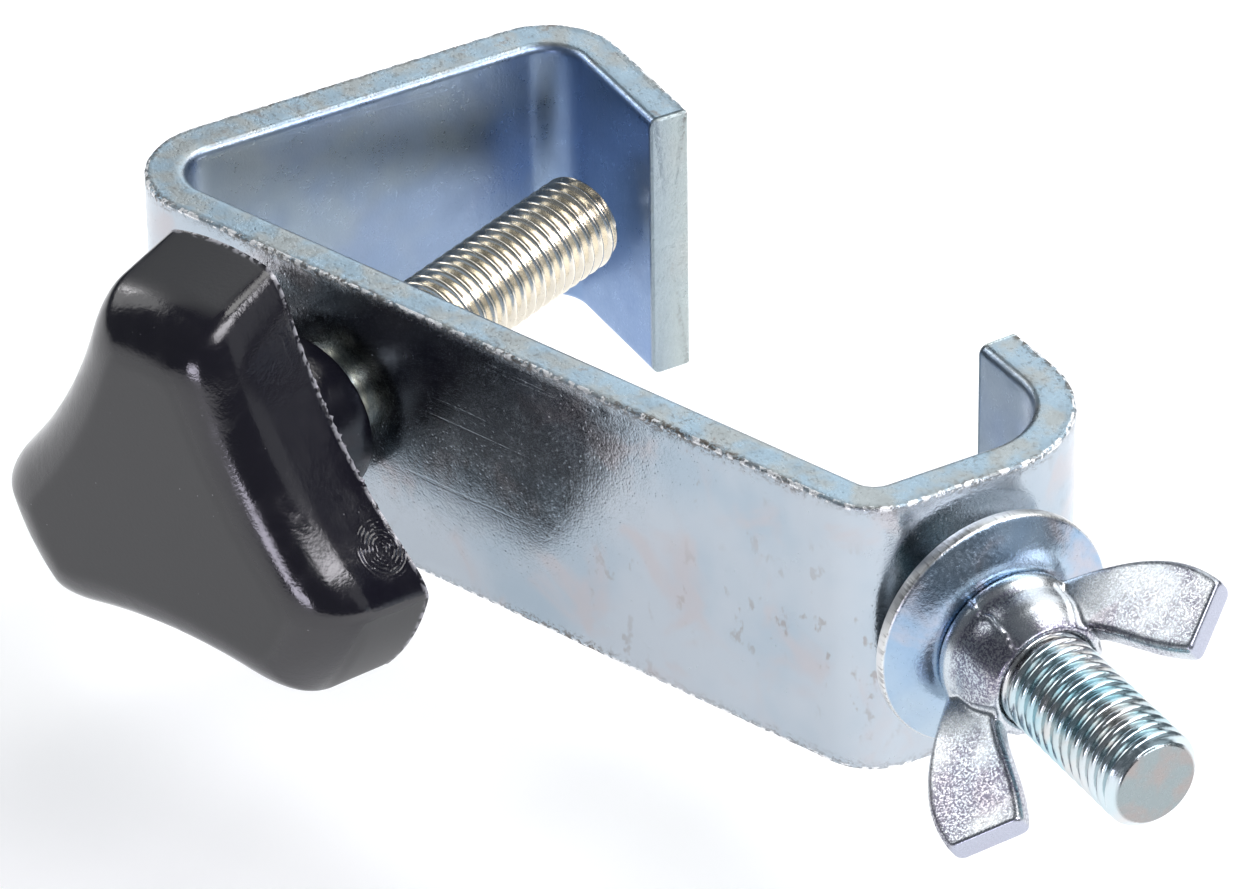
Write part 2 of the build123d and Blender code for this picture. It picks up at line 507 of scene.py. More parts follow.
def threaded_rod(name, radius, low, high, chamfers, profile, runout=None, columns=72):
    """Right-hand threaded rod about the Z axis, its rows of points running along the helix."""
    steps = len(profile)
    rows = steps * (math.ceil((high - low) / PITCH) + 2)
    turn = np.arange(columns) / columns
    row = np.arange(rows + 1)[:, None]
    height = np.clip(low + (row / steps - 1 + turn[None]) * PITCH, low, high)
    turns = np.broadcast_to(turn[None], height.shape)
    radial = thread_radius(height, turns, radius, low, high, chamfers, runout, profile)
    angle = turns * TURN
    vertices = np.stack([radial * np.cos(angle), radial * np.sin(angle), height], 2)
    vertices = vertices.reshape(-1, 3).tolist()
    faces = thread_faces(rows, columns, steps)
    for end_row, height_of_end in ((0, low), (rows, high)):
        centre = len(vertices)
        vertices.append([0.0, 0.0, height_of_end])
        for column in range(columns):
            after = (column + 1) % columns
            faces.append((centre, end_row * columns + column, end_row * columns + after))
    return new_object(name, vertices, clean_faces(vertices, faces), 50)


def clean_faces(vertices, faces):
    """Faces without the corners that fall on one another, and without slivers of no area."""
    keys = [tuple(round(value, 6) for value in vertex) for vertex in vertices]
    kept = []
    for face in faces:
        corners = []
        for corner in face:
            if keys[corner] not in [keys[other] for other in corners]:
                corners.append(corner)
        if len(corners) > 2:
            kept.append(corners)
    return kept


def make_clamp_screw():
    """The M10 clamp screw, from its tip in the hook to its end in the knob."""
    top = SCREW_LENGTH - SCREW_REACH
    ends = (SCREW_CHAMFER, SCREW_CHAMFER)
    screw = threaded_rod("clamp_screw_thread", SCREW_RADIUS, -SCREW_REACH, top, ends, CUT_PROFILE)
    return set_up(screw, screw_place())


def bolt_head_rings(seat):
    """Rings of the bolt's hexagon head: a chamfered top, the flats, and a round collar."""
    columns = 96
    angle = np.arange(columns) * TURN / columns
    sixth = TURN / 6
    hexagon = HEAD_HALF_FLATS / np.cos((angle + sixth) % sixth - sixth / 2)
    top = seat - HEAD_HEIGHT
    rows = [(top, 6.4), (top, 7.4), (top + 0.06, HEAD_TOP_RADIUS)]
    for share in np.linspace(0.15, 1, 7):
        rows.append((top + 0.06 + 0.89 * share, HEAD_TOP_RADIUS + 1.64 * share))
    rows += [(height, HEAD_REACH) for height in np.linspace(top + 1.2, seat - 0.75, 8)]
    rings = []
    for height, limit in rows:
        radial = np.minimum(hexagon, limit)
        high = np.full(columns, height)
        rings.append(np.c_[radial * np.cos(angle), radial * np.sin(angle), high])
    collar_edge = seat - HEAD_COLLAR_HEIGHT
    rings.append(circle_ring(HEAD_COLLAR + 0.5, collar_edge, columns))
    rings.append(circle_ring(HEAD_COLLAR, collar_edge, columns))
    rings.append(circle_ring(HEAD_COLLAR, seat, columns))
    rings.append(circle_ring(5.2, seat, columns))
    return rings


def make_fixture_bolt():
    """The M10 hexagon bolt: a chamfered head inside the hook and a long thread."""
    seat = -BAR_THICKNESS - HEAD_STAND_OFF
    ends = (0, BOLT_CHAMFER)
    name = "fixture_bolt_thread"
    shank = threaded_rod(name, BOLT_RADIUS, seat - 3, BOLT_END, ends, ROLLED_PROFILE, runout=1.0)
    head = ring_object("bolt_head", bolt_head_rings(seat), 28)
    apply_boolean(shank, head, "UNION")
    tidy_mesh(shank, 40)
    points = points_of(shank)
    store(shank, "tip", smooth_step(BOLT_END - 0.3, BOLT_END - 0.02, points[:, 2]))
    return set_up(shank, bolt_place())


# ---------------------------------------------------------------- the knob


def lobed_radius(angle, lobe_radius, inset, blend):
    """Distance from the axis to the knob's outline less an inset, its corners blended."""
    result = np.full(len(angle), lobe_radius - inset, float)
    scoop_radius = SCOOP_RADIUS + inset
    for index in range(LOBES):
        centre = math.radians(KNOB_CLOCK + (index + 0.5) * LOBE_STEP)
        across = SCOOP_DISTANCE * np.sin(angle - centre)
        ahead = SCOOP_DISTANCE * np.cos(angle - centre)
        inside = scoop_radius ** 2 - across ** 2
        nearer = ahead - np.sqrt(np.maximum(inside, 0))
        scoop = np.where((inside > 0) & (ahead > 0), nearer, SCOOP_DISTANCE)
        near = np.maximum(blend - np.abs(result - scoop), 0) / blend
        result = np.minimum(result, scoop) - near * near * blend / 4
    return result


def knob_ring(angle, height, inset=0.0, scale=1.0, flash=0.0):
    """One ring of the knob's body at a height, drawn in from the outline by an inset."""
    share = (height - KNOB_BACK) / (KNOB_FRONT - KNOB_BACK)
    lobe_radius = KNOB_BACK_RADIUS + (KNOB_FRONT_RADIUS - KNOB_BACK_RADIUS) * share
    blend = KNOB_CORNER_BLEND - 0.32 * inset
    radial = lobed_radius(angle, lobe_radius, inset, blend) * scale + flash
    return np.c_[radial * np.cos(angle), radial * np.sin(angle), np.full(len(angle), height)]


def flash_width(angle):
    """Ragged moulding flash along the back edge, only on the hollow flanks."""
    from_flank = angle - math.radians(KNOB_CLOCK + LOBE_STEP / 2)
    flank = 1 - smooth_step(0.5, 0.95, np.abs(np.sin(LOBES / 2 * from_flank)))
    ragged = noise_line(angle * 30.0, 1.1, 5.2) + 0.5 * noise_line(angle * 90.0, 1.0, 2.7)
    return 0.04 + 0.55 * flank * np.maximum(ragged, 0)


def satin_share(normals):
    """1 on the knob's front and on the ends of its lobes, 0 on its rounded edges and flanks, which
    the material makes glossier and paints darker as shade.
    """
    satin = smooth_step(0.955, 0.998, normals[:, 2])
    draft = math.atan((KNOB_BACK_RADIUS - KNOB_FRONT_RADIUS) / (KNOB_FRONT - KNOB_BACK))
    for index in range(LOBES):
        flat = heading(KNOB_CLOCK + index * LOBE_STEP) * math.cos(draft)
        square = normals @ np.array([*flat, math.sin(draft)])
        satin = np.maximum(satin, smooth_step(0.93, 0.99, square))
    return satin


def hub_section():
    """The hub's (radius, height) from the bottom of its blind hole, out and up to its foot."""
    hole_end = SCREW_LENGTH - SCREW_REACH + 0.05
    section = [(KNOB_HOLE, hole_end), (KNOB_HOLE, HUB_GAP + 0.4), (KNOB_HOLE + 0.4, HUB_GAP)]
    section += [(HUB_RADIUS - 0.45, HUB_GAP), (HUB_RADIUS - 0.15, HUB_GAP + 0.13)]
    section += [(HUB_RADIUS, HUB_GAP + 0.45)]
    section += [(HUB_RADIUS, h) for h in np.linspace(HUB_GAP + 2, KNOB_BACK - 0.9, 5)]
    section += [(HUB_RADIUS + 0.25, KNOB_BACK - 0.3), (HUB_RADIUS + 0.9, KNOB_BACK)]
    return section


def knob_rings():
    """Rings of the knob in one skin: blind hole, hub, back, flash line, flanks and front."""
    columns = 360
    angle = np.arange(columns) * TURN / columns
    rings = [circle_ring(radius, height, columns) for radius, height in hub_section()]
    foot = rings[-1]
    outer = knob_ring(angle, KNOB_BACK, 0.45)
    rings += [foot + (outer - foot) * share for share in (0.3, 0.65, 0.92)]
    rings.append(outer)
    rings.append(knob_ring(angle, KNOB_BACK + 0.08, 0.25))
    rings.append(knob_ring(angle, FLASH_HEIGHT, flash=flash_width(angle)))
    rings.append(knob_ring(angle, KNOB_BACK + 0.40, 0.03))
    for height in np.linspace(KNOB_BACK + 0.8, KNOB_FRONT - KNOB_FRONT_ROUND, 14):
        rings.append(knob_ring(angle, height))
    for turn in np.radians(np.linspace(4, 90, 22)):
        height = KNOB_FRONT - KNOB_FRONT_ROUND * (1 - math.sin(turn))
        rings.append(knob_ring(angle, height, KNOB_FRONT_ROUND * (1 - math.cos(turn))))
    for scale in (0.97, 0.9, 0.75, 0.55, 0.3, 0.1):
        rings.append(knob_ring(angle, KNOB_FRONT, KNOB_FRONT_ROUND, scale))
    return rings


def make_knob():
    """The moulded knob, with its satin faces, its flash and the mark on its flank stored; the satin
    share also sets where painted shade goes.
    """
    knob = ring_object("knob_moulding", knob_rings(), 50)
    points = points_of(knob)
    swirl = np.array([*(heading(SWIRL_CLOCK) * SWIRL_REACH), SWIRL_HEIGHT])
    store(knob, "satin", satin_share(normals_of(knob)))
    store(knob, "flash", smooth_step(0.22, 0.08, np.abs(points[:, 2] - FLASH_HEIGHT)))
    store(knob, "swirl", np.linalg.norm(points - swirl, axis=1))
    return set_up(knob, screw_place())


# ---------------------------------------------------------------- washer and wing nut


def make_washer():
    """The pressed washer: flat round the hole, then a smooth dish down to a sheared rim."""
    reach = WASHER_RADIUS - WASHER_CENTRE
    share = np.linspace(0, 1, 13)
    radii = WASHER_CENTRE + reach * share
    fall = WASHER_RISE * (1 - np.cos(share * DISH_TURN)) / (1 - math.cos(DISH_TURN))
    front = WASHER_BACK + WASHER_THICKNESS + WASHER_RISE
    back = WASHER_BACK + WASHER_RISE
    section = [(WASHER_HOLE, back), (WASHER_HOLE, front - 0.15), (WASHER_HOLE + 0.15, front)]
    section += [(radius, front - drop) for radius, drop in zip(radii[:-1], fall[:-1])]
    rim_front = front - WASHER_RISE
    section += [(WASHER_RADIUS - 0.22, rim_front + 0.06), (WASHER_RADIUS - 0.05, rim_front - 0.1)]
    section += [(WASHER_RADIUS, rim_front - 0.25), (WASHER_RADIUS - 0.04, WASHER_BACK + 0.12)]
    section += [(WASHER_RADIUS - 0.2, WASHER_BACK)]
    section += [(radius, back - drop) for radius, drop in zip(radii[-2::-1], fall[-2::-1])]
    washer = revolved("washer_pressing", section, columns=160)
    points = points_of(washer)
    reach = np.hypot(points[:, 0], points[:, 1])
    store(washer, "rim", smooth_step(WASHER_RADIUS - 0.16, WASHER_RADIUS - 0.06, reach))
    # Back face share, where the material paints light.
    store(washer, "back", smooth_step(-0.1, -0.4, normals_of(washer)[:, 2]))
    return set_up(washer, bolt_place())


def curve_through(points, count):
    """Points on a smooth curve through a few given ones."""
    points = np.asarray(points, float)
    knots = np.r_[0, np.cumsum(np.linalg.norm(np.diff(points, axis=0), axis=1))]
    order = len(points) - 1
    where = np.linspace(0, knots[-1], count)
    return np.c_[[np.polyval(np.polyfit(knots, points[:, k], order), where) for k in (0, 1)]].T


def wing_rings(side):
    """Rings of one wing from its root in the hub to its flat tip."""
    count = 26
    outer = curve_through(WING_OUTER, count)
    inner = curve_through(WING_INNER, count)
    halves = np.linspace(*WING_HALF, count)
    rings = [wing_ring(*edges, side) for edges in zip(outer, inner, halves)]
    tip = rings[-1]
    middle = tip.mean(0)
    outward = np.array([0.55 * side, 0.0, 0.84]) * 0.25
    rings.append(middle + (tip - middle) * 0.93 + outward)
    return rings


def wing_ring(outer, inner, half, side):
    """A rounded rectangle between the wing's two edges."""
    width = np.linalg.norm(outer - inner)
    low, high = WING_CORNER, width - WING_CORNER
    beside = half - WING_CORNER
    ring = []
    for centre, start in (((high, beside), 90), ((high, -beside), 0),
                          ((low, -beside), -90), ((low, beside), -180)):
        ring += arc_points(centre, WING_CORNER, start, start - 90, 6)
    ring = np.array(ring)
    across = (outer - inner) / width
    flat = inner + ring[:, :1] * across
    return np.c_[flat[:, 0] * side, ring[:, 1], flat[:, 1]]


def hub_radius(height):
    """Radius of the wing nut's domed hub: a round collar, a shallow neck and a shoulder."""
    heights = (COLLAR_HEIGHT, 2.1, 2.9, 3.9, 4.7, 5.9, NUT_HEIGHT)
    radii = (7.45, 7.12, 7.05, 7.0, 6.85, 6.4, 5.75)
    return np.interp(height, heights, radii)


def raise_lines(points):
    """Seam down the middle of the hub and raised lines where the wings grow out of it."""
    across, beside, height = points.T
    reach = np.hypot(across, beside)
    on_hub = smooth_step(0.9, 0.45, np.abs(reach - hub_radius(height)))
    on_hub = on_hub * smooth_step(5.3, 5.7, reach)
    on_hub = on_hub * smooth_step(NUT_HEIGHT, NUT_HEIGHT - 0.5, height)
    places = zip(0.4 * np.sign(beside), 0.9 * height)
    wobble = np.array([noise.noise(Vector((0.0, side, high))) for side, high in places])
    seam = 0.22 * np.exp(-((across - 0.5 * wobble) / 0.2) ** 2)
    from_root = np.abs(beside) - WING_ROOT_LINE
    ridge = 0.24 * np.exp(-(from_root / 0.24) ** 2)
    groove = 0.2 * np.exp(-((from_root + 0.7) / 0.4) ** 2)
    above = smooth_step(1.5, 2.2, height)
    push = (seam + (ridge - groove) * above) * on_hub
    return points + np.c_[across, beside, 0 * height] * (push / np.maximum(reach, 1.0))[:, None]


def cast_nut():
    """The nut before it is bored: collar, domed hub and two wings run together."""
    hub = [(0, 0), (7.35, 0), (7.6, 0.25), (7.6, 1.2), (7.45, COLLAR_HEIGHT)]
    hub += [(hub_radius(height), height) for height in np.linspace(1.9, NUT_HEIGHT, 15)]
    hub += [(0, NUT_HEIGHT)]
    nut = revolved("wing_nut_casting", hub, columns=96)
    for side in (1, -1):
        wing = ring_object("wing", wing_rings(side))
        apply_boolean(nut, wing, "UNION")
    remesh = nut.modifiers.new("remesh", "REMESH")
    remesh.mode = "VOXEL"
    remesh.voxel_size = 0.2 * MM
    soften = nut.modifiers.new("soften", "SMOOTH")
    soften.factor = 0.5
    soften.iterations = 5
    bake_modifiers(nut)
    set_points(nut, raise_lines(points_of(nut)))
    return nut


def store_nut_shares(nut):
    """Keep how much each point is wing tip, wing face and collar."""
    points = points_of(nut)
    height = points[:, 2]
    wing_place = np.stack([np.abs(points[:, 0]), height], 1)
    past_tip = (wing_place - WING_INNER[-1]) @ WING_TIP_FACING
    tip = smooth_step(0, 0.35, past_tip + 0.15)
    edge = smooth_step(0.85, 1.2, np.abs(points[:, 1]))
    on_wing = smooth_step(7.0, 8.2, np.hypot(points[:, 0], points[:, 1]))
    low = 1 - smooth_step(1.5, 1.9, height)
    store(nut, "tip", tip)
    store(nut, "face", edge * on_wing * (1 - tip))
    store(nut, "collar", np.where(on_wing > 0.5, 0, low))


def make_wing_nut():
    """The cast wing nut, bored through, on the bolt above the washer."""
    nut = cast_nut()
    above = NUT_HEIGHT + 2
    bore = [(0, -1), (NUT_BORE, -1), (NUT_BORE, NUT_HEIGHT - 0.35)]
    bore += [(NUT_MOUTH, NUT_HEIGHT + 0.35), (NUT_MOUTH, above), (0, above)]
    apply_boolean(nut, revolved("bore", bore, columns=96), "DIFFERENCE")
    tidy_mesh(nut, 48)
    store_nut_shares(nut)
    turn = Matrix.Rotation(math.radians(NUT_CLOCK), 4, "Z")
    lift = Matrix.Translation((0, 0, NUT_BASE * MM))
    return set_up(nut, bolt_place() @ lift @ turn)


# ---------------------------------------------------------------- material helpers


class Shader:
    """A material's node tree, with short calls that add nodes and join them."""

    def __init__(self, name):
        self.material = bpy.data.materials.new(name)
        self.material.use_nodes = True
        self.tree = self.material.node_tree
        self.surface = self.tree.nodes["Principled BSDF"]
        coordinates = self.tree.nodes.new("ShaderNodeTexCoord")
        self.place = coordinates.outputs["Object"]

    def add(self, kind, inputs, **settings):
        """Add a node; inputs are numbers, colours or other nodes' outputs."""
        node = self.tree.nodes.new("ShaderNode" + kind)
        for name, value in settings.items():
            setattr(node, name, value)
        for name, value in inputs.items():
            self.join(node.inputs[name], value)
        return node

    def join(self, socket, value):
        """Link an output to an input, or set the input's own value."""
        if isinstance(value, bpy.types.NodeSocket):
            self.tree.links.new(value, socket)
        elif isinstance(value, tuple) and socket.type == "RGBA":
            socket.default_value = (*value, 1.0)
        else:
            socket.default_value = value

    def noise(self, scale, detail=3.0, stretch=(1, 1, 1), rough=0.55, distortion=0.0):
        """Noise from 0 to 1 with features about 1/scale metres wide."""
        place = self.add("Mapping", {"Vector": self.place, "Scale": stretch}).outputs[0]
        inputs = {"Vector": place, "Scale": scale, "Detail": detail, "Roughness": rough}
        inputs["Distortion"] = distortion
        return self.add("TexNoise", inputs).outputs["Fac"]

    def cells(self, scale):
        """Distance to the nearest of many scattered points."""
        return self.add("TexVoronoi", {"Vector": self.place, "Scale": scale}).outputs["Distance"]

    def stored(self, name):
        """A number that the mesh keeps for each point."""
        return self.add("Attribute", {}, attribute_name=name).outputs["Fac"]

    def sum(self, a, b):
        """Sum of two values."""
        return self.math("ADD", a, b)

    def times(self, a, b):
        """Product of two values."""
        return self.math("MULTIPLY", a, b)

    def rest_of(self, share):
        """What is left of one after a share."""
        return self.math("SUBTRACT", 1.0, share)

    def math(self, operation, a, b=0.0):
        """One arithmetic step."""
        return self.add("Math", {0: a, 1: b}, operation=operation).outputs[0]

    def step(self, value, low, high, start=0.0, end=1.0):
        """Map a value from one range to another, clamped and smooth."""
        inputs = {"Value": value, "From Min": low, "From Max": high, "To Min": start, "To Max": end}
        return self.add("MapRange", inputs, interpolation_type="SMOOTHSTEP").outputs[0]

    def mix(self, share, first, second):
        """Mix of two colours."""
        node = self.add("Mix", {}, data_type="RGBA")
        self.join(node.inputs[0], share)
        self.join(node.inputs[6], first)
        self.join(node.inputs[7], second)
        return node.outputs[2]

    def clouds(self, scale, detail, limits, first, second):
        """Two colours in soft clouds about 1/scale metres wide."""
        return self.mix(self.step(self.noise(scale, detail), *limits), first, second)

    def bump(self, height, depth, below=None):
        """Surface relief of a depth in metres, on top of another relief."""
        inputs = {"Height": height, "Distance": depth, "Strength": 1.0}
        if below is not None:
            inputs["Normal"] = below
        return self.add("Bump", inputs).outputs[0]

    def finish(self, colour, roughness, normal, **constants):
        """Set the surface from its colour, roughness and relief, and its constants."""
        self.join(self.surface.inputs["Base Color"], colour)
        self.join(self.surface.inputs["Roughness"], roughness)
        self.join(self.surface.inputs["Normal"], normal)
        for name, value in constants.items():
            self.surface.inputs[name.replace("_", " ")].default_value = value
        return self.material


# ---------------------------------------------------------------- materials


def zinc_colour(shader, pale, deep, warm):
    """Zinc plate's colour: a pale base, bluer clouds, and a little warm iridescence."""
    colour = shader.clouds(70, 3, (0.35, 0.7), pale, deep)
    film = shader.step(shader.noise(130, 4, distortion=0.6), 0.5, 0.7, 0.0, 0.75)
    return shader.mix(film, colour, warm)


def bar_plating(shader, side, end, inside):
    """The bar's colour before wear: pale faces, greyer sides and ends, and painted shade inside:
    the inner faces darker and bluer, deepest in the lip.
    """
    colour = zinc_colour(shader, (0.47, 0.52, 0.57), (0.38, 0.46, 0.53), (0.49, 0.47, 0.49))
    sheared = shader.clouds(260, 3, (0.4, 0.62), (0.37, 0.48, 0.56), (0.42, 0.45, 0.45))
    colour = shader.mix(side, colour, sheared)
    # Painted shade: the inner faces are coloured darker and bluer, deepest inside the lip, standing
    # in for the shaded floor they reflect.
    blue = shader.clouds(90, 2, (0.38, 0.62), (0.22, 0.30, 0.44), (0.27, 0.34, 0.42))
    near_lip = shader.step(shader.stored("along"), 0.014, 0.034, 1.0, 0.0)
    blue = shader.mix(shader.times(near_lip, 0.8), blue, (0.20, 0.33, 0.60))
    colour = shader.mix(shader.times(inside, 0.9), colour, blue)
    return shader.mix(shader.times(end, 0.7), colour, (0.47, 0.53, 0.50))


def bar_wear(shader, strokes, side, burr):
    """Where the plating is worn: short strokes on the sheared corner, fewer on the side."""
    worn_run = shader.step(shader.noise(75, 3), 0.36, 0.6, 0.25, 1.0)
    worn_place = shader.math("MAXIMUM", burr, shader.times(side, 0.4))
    marks = shader.step(shader.sum(strokes, shader.times(burr, 0.1)), 0.55, 0.62, 0.0, 0.9)
    return shader.times(shader.times(marks, worn_run), worn_place)


def bar_spots(shader, colour, burr, outside):
    """Painted glints: near-white flecks on the sheared corner where the ragged burr catches light;
    and a few brown stains on the outer faces.
    """
    # Painted highlight: near-white flecks along the sheared corner stand in for glints.
    painted_glints = shader.step(shader.noise(1300, 2), 0.48, 0.56)
    painted_glints = shader.times(painted_glints, shader.step(burr, 0.8, 0.97))
    colour = shader.mix(painted_glints, colour, (0.95, 0.96, 0.97))
    stains = shader.noise(520, 3, stretch=(1, 1, 0.6), rough=0.65)
    stains = shader.step(stains, 0.59, 0.67, 0.0, 0.5)
    stains = shader.times(stains, shader.step(shader.noise(42, 1), 0.45, 0.6))
    return shader.mix(shader.times(stains, outside), colour, (0.27, 0.22, 0.19))


def bar_material():
    """Zinc-plated mild steel bar, satin faces, sheared sides and worn burrs."""
    shader = Shader("zinc_bar_look")
    side = shader.stored("side")
    burr = shader.stored("burr")
    end = shader.stored("end")
    # Inner faces: rougher, and painted darker and bluer as shade in bar_plating.
    inside = shader.times(shader.stored("inner"), shader.rest_of(side))
    outside = shader.rest_of(inside)
    strokes = shader.noise(1700, 4, stretch=(1, 1, 1.6), rough=0.75)
    marks = bar_wear(shader, strokes, side, burr)
    colour = bar_plating(shader, side, end, inside)
    colour = shader.mix(marks, colour, (0.15, 0.125, 0.10))
    colour = bar_spots(shader, colour, burr, outside)
    grain = shader.noise(3600, 2, rough=0.7)
    rolled = shader.noise(800, 2, stretch=(1, 1, 0.06))
    mottle = shader.noise(380, 4, rough=0.65)
    pits = shader.step(shader.cells(1500), 0.08, 0.26)
    scratch = shader.noise(700, 1, stretch=(0.05, 0.05, 1.3), distortion=0.3)
    scratch = shader.step(scratch, 0.68, 0.72, 1.0, 0.4)
    torn = shader.times(shader.noise(1300, 4, rough=0.7), end)
    roughness = shader.step(grain, 0.3, 0.7, 0.11, 0.21)
    roughness = shader.sum(roughness, shader.step(mottle, 0.4, 0.7, 0.0, 0.08))
    for place, rougher in ((marks, 0.3), (side, 0.14), (end, 0.12), (inside, 0.15)):
        roughness = shader.sum(roughness, shader.times(place, rougher))
    normal = shader.bump(grain, 0.000022)
    normal = shader.bump(rolled, 0.000016, normal)
    normal = shader.bump(mottle, 0.000022, normal)
    normal = shader.bump(shader.times(pits, outside), 0.000012, normal)
    normal = shader.bump(scratch, 0.000012, normal)
    normal = shader.bump(shader.times(strokes, burr), 0.00012, normal)
    normal = shader.bump(torn, 0.00025, normal)
    return shader.finish(colour, roughness, normal, Metallic=1.0)


def screw_material():
    """Nickel-coloured clamp screw: warm grey with fine turning marks."""
    shader = Shader("clamp_screw_look")
    grain = shader.noise(2600, 3)
    colour = shader.clouds(240, 3, (0.3, 0.7), (0.95, 0.89, 0.77), (0.84, 0.78, 0.66))
    roughness = shader.step(grain, 0.3, 0.7, 0.16, 0.28)
    normal = shader.bump(grain, 0.000007)
    return shader.finish(colour, roughness, normal, Metallic=1.0)


def bolt_material():
    """Bright zinc on the bolt, bluer in places, with a duller sawn end."""
    shader = Shader("zinc_bolt_look")
    colour = zinc_colour(shader, (0.66, 0.70, 0.72), (0.44, 0.62, 0.67), (0.68, 0.63, 0.60))
    tip = shader.stored("tip")
    sawn = shader.clouds(300, 3, (0.4, 0.65), (0.30, 0.35, 0.36), (0.36, 0.33, 0.32))
    colour = shader.mix(tip, colour, sawn)
    grain = shader.noise(2400, 3)
    roughness = shader.sum(shader.step(grain, 0.3, 0.7, 0.12, 0.24), shader.times(tip, 0.12))
    normal = shader.bump(grain, 0.000012)
    normal = shader.bump(shader.times(shader.noise(900, 3), tip), 0.00008, normal)
    return shader.finish(colour, roughness, normal, Metallic=1.0)


def washer_material():
    """Blue zinc on the pressed washer, with a striated sheared rim and a pale back face that is
    painted light.
    """
    shader = Shader("zinc_washer_look")
    colour = zinc_colour(shader, (0.44, 0.54, 0.63), (0.29, 0.42, 0.58), (0.50, 0.47, 0.50))
    grain = shader.noise(2600, 3, rough=0.65)
    waves = shader.noise(300, 2)
    rim = shader.stored("rim")
    ridges = shader.noise(4200, 1, stretch=(0.06, 1, 1))
    colour = shader.mix(rim, colour, (0.78, 0.79, 0.78))
    grooves = shader.times(rim, shader.step(ridges, 0.5, 0.6))
    colour = shader.mix(grooves, colour, (0.46, 0.46, 0.46))
    # Painted light: the back face, which faces the bar in shade, is coloured pale so that its
    # reflection in the bar is light.
    colour = shader.mix(shader.stored("back"), colour, (0.82, 0.84, 0.86))
    roughness = shader.sum(shader.step(grain, 0.3, 0.7, 0.16, 0.28), shader.times(rim, 0.15))
    normal = shader.bump(grain, 0.00003)
    normal = shader.bump(waves, 0.00005, normal)
    normal = shader.bump(shader.times(ridges, rim), 0.00004, normal)
    return shader.finish(colour, roughness, normal, Metallic=1.0)


def casting_material():
    """Zinc over a grained casting: sparkling wing faces, smooth collar and edges."""
    shader = Shader("zinc_casting_look")
    colour = zinc_colour(shader, (0.68, 0.70, 0.72), (0.56, 0.64, 0.70), (0.62, 0.58, 0.61))
    face = shader.stored("face")
    tip = shader.stored("tip")
    collar = shader.stored("collar")
    colour = shader.mix(shader.times(tip, 0.8), colour, (0.40, 0.42, 0.52))
    smooth = shader.math("MAXIMUM", tip, collar)
    rough_share = shader.rest_of(smooth)
    grain = shader.noise(4300, 3, rough=0.8)
    pits = shader.noise(1500, 3, rough=0.65)
    patches = shader.step(shader.noise(130, 3), 0.4, 0.58, 0.08, 1.0)
    freckles = shader.times(shader.step(grain, 0.44, 0.52, 0.0, 0.85), patches)
    colour = shader.mix(shader.times(freckles, rough_share), colour, (0.13, 0.12, 0.19))
    roughness = shader.step(grain, 0.3, 0.7, 0.18, 0.34)
    deeper = shader.times(rough_share, shader.step(face, 0, 1, 0.4, 1.0))
    normal = shader.bump(shader.times(pits, deeper), 0.00003)
    normal = shader.bump(shader.times(grain, deeper), 0.000035, normal)
    return shader.finish(colour, roughness, normal, Metallic=1.0)


def plastic_material():
    """Moulded black plastic: satin front and lobe ends, glossier rounded flanks painted darker as
    shade.
    """
    shader = Shader("black_plastic_look")
    satin = shader.stored("satin")
    dust = shader.step(shader.cells(700), 0.0, 0.075, 1.0, 0.0)
    patchy = shader.step(shader.noise(150, 2), 0.5, 0.62)
    # Painted shade: the glossy rounded edges and flanks are coloured darker than the satin faces,
    # partly for their finish and partly for the dark bands they reflect.
    colour = shader.mix(satin, (0.004, 0.003, 0.007), (0.013, 0.013, 0.015))
    colour = shader.mix(shader.times(dust, shader.times(patchy, 0.6)), colour, (0.40, 0.40, 0.42))
    chips = shader.times(shader.stored("flash"), shader.step(shader.noise(1500, 3), 0.42, 0.58))
    colour = shader.mix(chips, colour, (0.42, 0.42, 0.45))
    texture = shader.noise(2800, 2)
    haze = shader.noise(240, 4, distortion=0.8)
    glossy = shader.rest_of(satin)
    blotches = shader.times(shader.step(haze, 0.4, 0.7, 0.0, 0.12), glossy)
    roughness = shader.sum(shader.sum(0.13, blotches), shader.times(satin, 0.37))
    from_swirl = shader.stored("swirl")
    rings = shader.math("SINE", shader.times(from_swirl, 14.0))
    rings = shader.times(rings, shader.step(from_swirl, 2.2, 3.4, 1.0, 0.0))
    rings = shader.times(rings, shader.step(shader.noise(700, 2), 0.4, 0.6))
    scuffs = shader.noise(900, 3, stretch=(1, 1, 0.3), distortion=1.2)
    scuffed = shader.times(glossy, shader.step(haze, 0.45, 0.65))
    normal = shader.bump(texture, 0.000015)
    normal = shader.bump(shader.times(scuffs, scuffed), 0.00002, normal)
    normal = shader.bump(rings, 0.00004, normal)
    return shader.finish(colour, roughness, normal, Metallic=0.0, Specular_IOR_Level=0.8)


# ---------------------------------------------------------------- stage


def plain_material(name, colour, roughness):
    """A plain surface for the stage."""
    shader = Shader(name)
    tone = shader.mix(shader.noise(3, 2), colour, tuple(c * 0.99 for c in colour))
    return shader.finish(tone, roughness, shader.bump(shader.noise(40, 2), 0.00001))


def make_floor():
    """A wide pale floor below the object."""
    sides = ((-1, -1), (1, -1), (1, 1), (-1, 1))
    corners = [(x * FLOOR_HALF, y * FLOOR_HALF, FLOOR_LEVEL) for x, y in sides]
    floor = new_object("floor", corners, [(0, 1, 2, 3)])
    paper = plain_material("floor_paper", (0.93, 0.93, 0.93), 0.9)
    glow = paper.node_tree.nodes["Principled BSDF"].inputs
    glow["Emission Color"].default_value = (1.0, 1.0, 1.0, 1.0)
    glow["Emission Strength"].default_value = FLOOR_GLOW
    floor.data.materials.append(paper)


def make_world():
    """Dim cool light from all round."""
    world = bpy.data.worlds.new("studio")
    SCENE.world = world
    world.use_nodes = True
    background = world.node_tree.nodes["Background"]
    background.inputs["Color"].default_value = WORLD_COLOUR
    background.inputs["Strength"].default_value = WORLD_GLOW


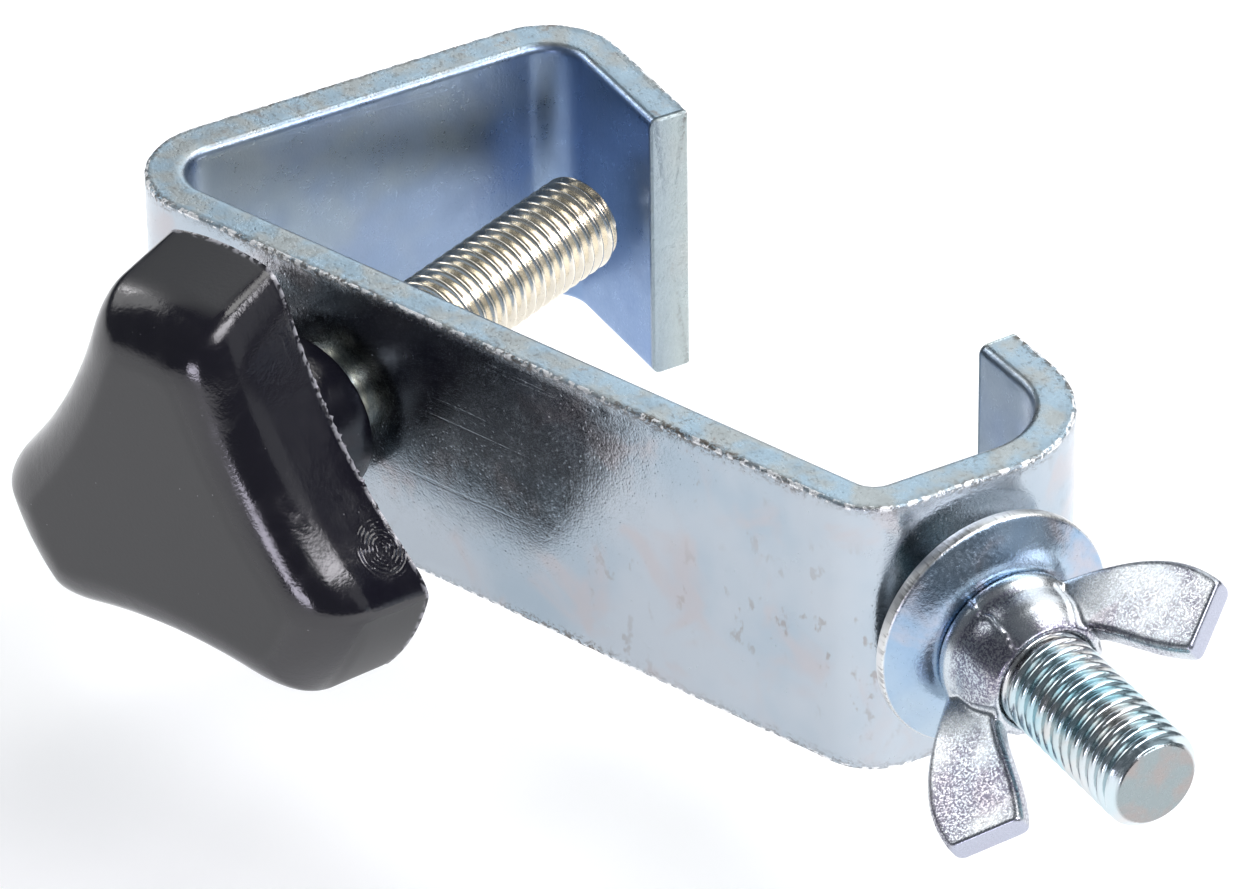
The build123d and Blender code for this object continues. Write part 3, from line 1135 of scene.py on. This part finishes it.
# Soft lights: direction from the object, distance, width and height, brightness, colour
# and whether metal reflects it.
LIGHTS = {
    "left_box": ((-0.69, -0.42, 0.60), 1.2, (0.62, 0.62), 1.8, (1.0, 1.0, 1.0), True),
    "left_core": ((-0.76, -0.34, 0.56), 1.2, (0.12, 0.12), 11.0, (1.0, 0.98, 1.0), True),
    "right_box": ((-0.60, 0.60, 0.54), 1.2, (0.85, 0.85), 1.35, (0.93, 0.97, 1.0), True),
    "far_box": ((0.02, 0.62, 0.78), 1.2, (0.75, 0.85), 3.4, (1.0, 0.99, 0.97), True),
    "haze_box": ((0.66, 0.29, 0.69), 1.2, (1.00, 0.34), 8.5, (0.97, 0.95, 1.0), True),
    "low_strip": ((0.62, -0.78, 0.08), 1.2, (0.34, 0.18), 8.0, (0.88, 0.84, 1.0), True),
    "side_box": ((0.72, 0.62, 0.30), 1.2, (0.70, 0.50), 0.4, (0.94, 0.96, 1.0), True),
    "overhead": ((0.0, 0.0, 1.0), 0.60, (0.60, 0.60), 1.1, (1.0, 1.0, 1.0), False),
}


def make_lights():
    """Rectangular soft lights round the object, none of them in a camera's picture."""
    for name, (direction, distance, size, glow, colour, in_metal) in LIGHTS.items():
        light = bpy.data.lights.new(name, "AREA")
        light.shape = "RECTANGLE"
        light.size, light.size_y = size
        light.energy = glow * math.pi * size[0] * size[1]
        light.color = colour
        obj = bpy.data.objects.new(name, light)
        away = Vector(direction).normalized()
        obj.location = OBJECT_MIDDLE + away * distance
        obj.rotation_euler = (-away).to_track_quat("-Z", "Y").to_euler()
        obj.visible_camera = False
        obj.visible_glossy = in_metal
        SCENE.collection.objects.link(obj)


def make_camera():
    """The camera at the photograph's viewing angle."""
    camera = bpy.data.cameras.new("camera")
    camera.sensor_width = CAMERA_SENSOR
    camera.lens = CAMERA_LENS
    camera.shift_x, camera.shift_y = CAMERA_SHIFT
    camera.clip_start = 0.01
    camera.clip_end = 50.0
    obj = bpy.data.objects.new("camera", camera)
    obj.location = CAMERA_PLACE
    obj.rotation_euler = Euler([math.radians(angle) for angle in CAMERA_TURN])
    SCENE.collection.objects.link(obj)
    SCENE.camera = obj


def dress(obj, node, body, material):
    """Give a piece its material, hang it on its body and hide the CAD node it stands in for."""
    obj.data.materials.clear()
    obj.data.materials.append(material)
    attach(obj, body)
    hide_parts(node)


def main():
    """Make every piece, then the stage."""
    dress(make_bar(), "hook_strap", "bar", bar_material())
    dress(make_clamp_screw(), "clamp_screw", "clamp_screw", screw_material())
    dress(make_knob(), "knob", "knob", plastic_material())
    dress(make_fixture_bolt(), "fixture_bolt", "bar", bolt_material())
    dress(make_washer(), "dished_washer", "washer", washer_material())
    dress(make_wing_nut(), "wing_nut", "wing_nut", casting_material())
    make_floor()
    make_world()
    make_lights()
    make_camera()
    SCENE.view_settings.view_transform = "Standard"


main()
